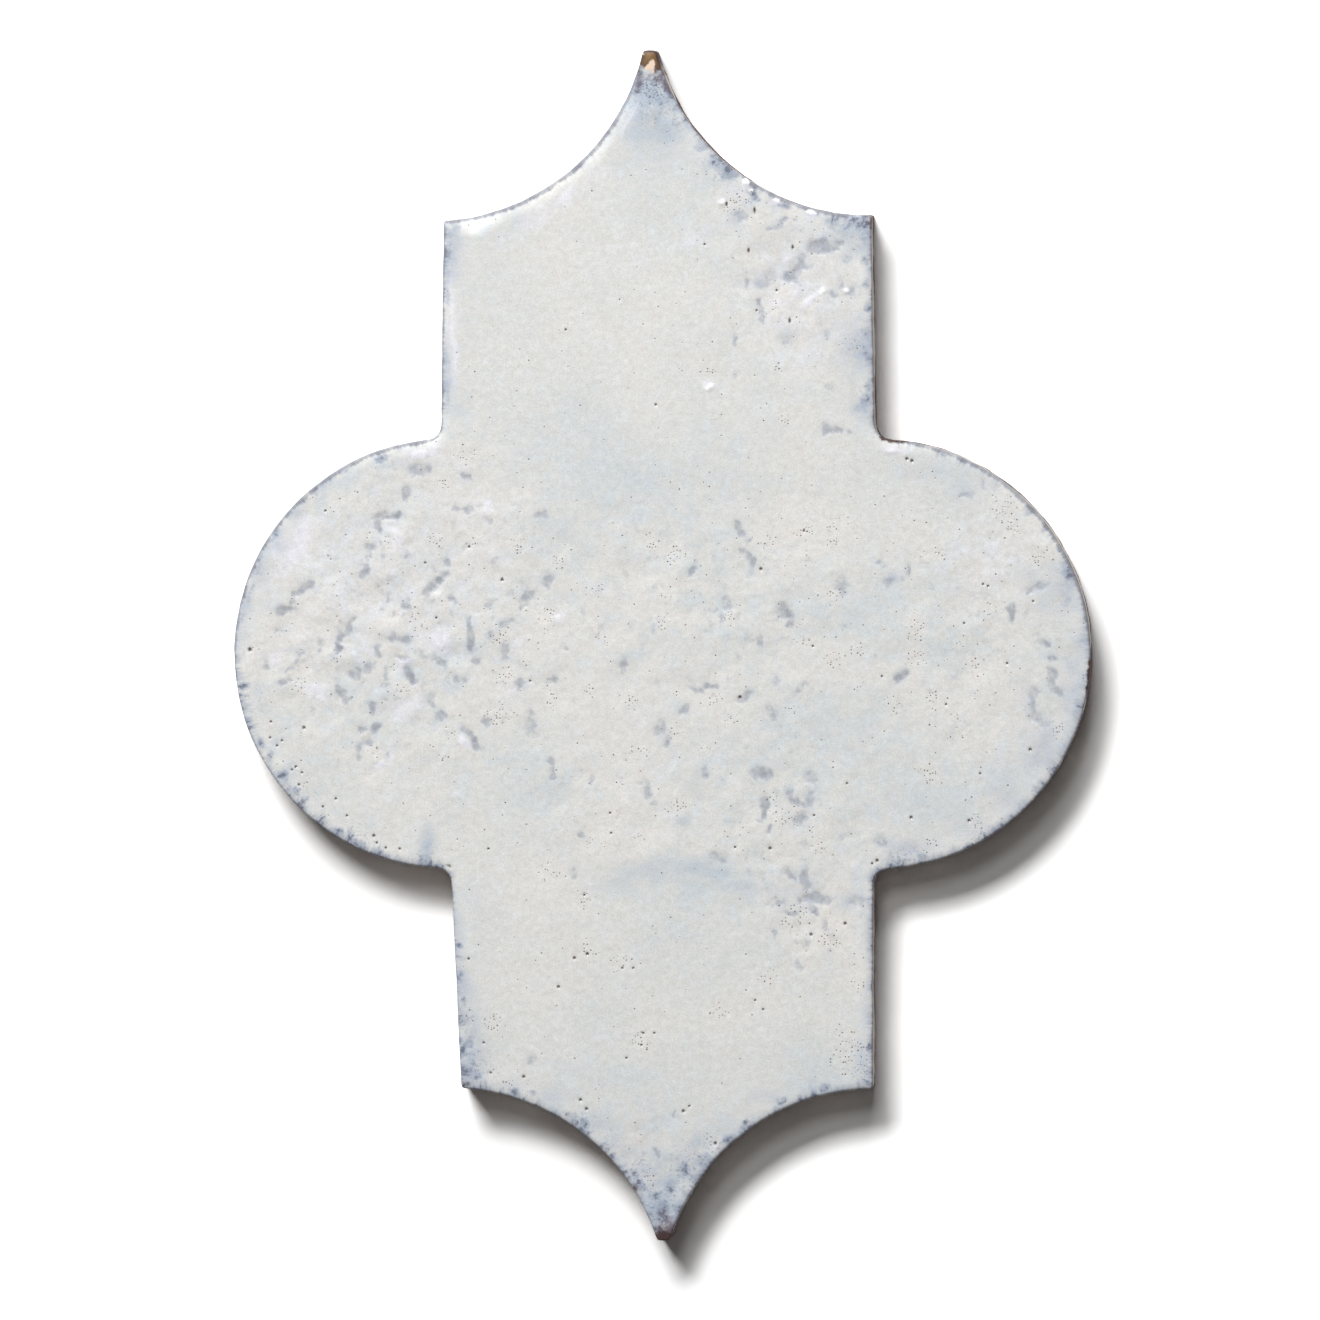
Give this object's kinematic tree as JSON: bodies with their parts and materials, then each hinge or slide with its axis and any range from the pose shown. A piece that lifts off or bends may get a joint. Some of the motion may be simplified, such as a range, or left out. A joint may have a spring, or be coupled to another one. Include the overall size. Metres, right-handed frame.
{
  "type": "arabesque wall tile",
  "caption": "Flat glazed clay tile with a lantern outline: round side lobes, straight necks with square shoulders and hollow arcs drawn to blunt tips, laid edge to edge on a wall or floor.",
  "frame": {"origin": "middle of the tile's plan, on its flat back", "axes": "+X across the lobes, +Y along the tip-to-tip length towards the longer-drawn tip, +Z out of the glazed face"},
  "size_m": [0.15, 0.208, 0.01],
  "materials": {
    "glazed_clay": "glossy pitted off-white glaze that breaks blue-grey at the edges, over brown fired clay"
  },
  "bodies": {
    "root": {"arabesque_tile": "glazed_clay"}
  },
  "joints": []
}
